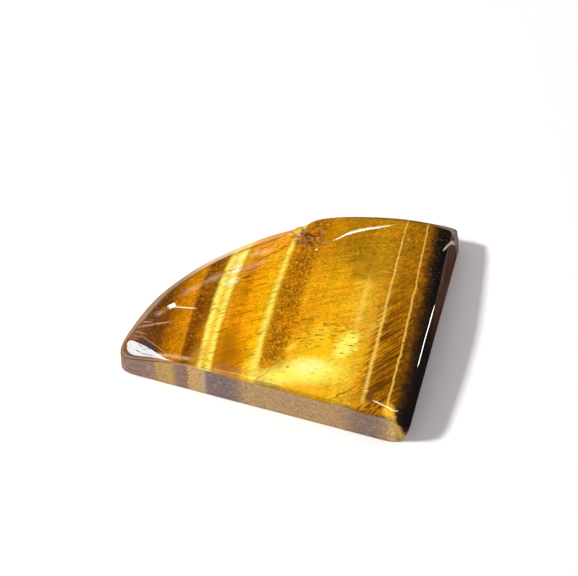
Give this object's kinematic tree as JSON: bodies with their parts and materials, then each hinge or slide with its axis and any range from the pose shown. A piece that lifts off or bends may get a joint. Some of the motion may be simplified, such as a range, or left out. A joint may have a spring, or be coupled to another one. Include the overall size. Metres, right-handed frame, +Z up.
{
  "type": "polished tiger's eye stone",
  "caption": "Polished banded tiger's eye slab, a quarter-round freeform with a straight sawn side, a low domed top with bevelled edges and a flat base.",
  "frame": {"origin": "middle of the base, halfway along and across the stone, on the surface that it rests on", "axes": "+X along the straight sawn side towards the right end, +Y from the sawn side to the rounded back, +Z up"},
  "size_m": [0.029, 0.0244, 0.0055],
  "materials": {
    "tigers_eye": "Polished tiger's eye: golden yellow, amber and dark brown fibre bands under a clear gloss, grey brown on the sawn side."
  },
  "bodies": {
    "root": {"stone": "tigers_eye"}
  },
  "joints": []
}
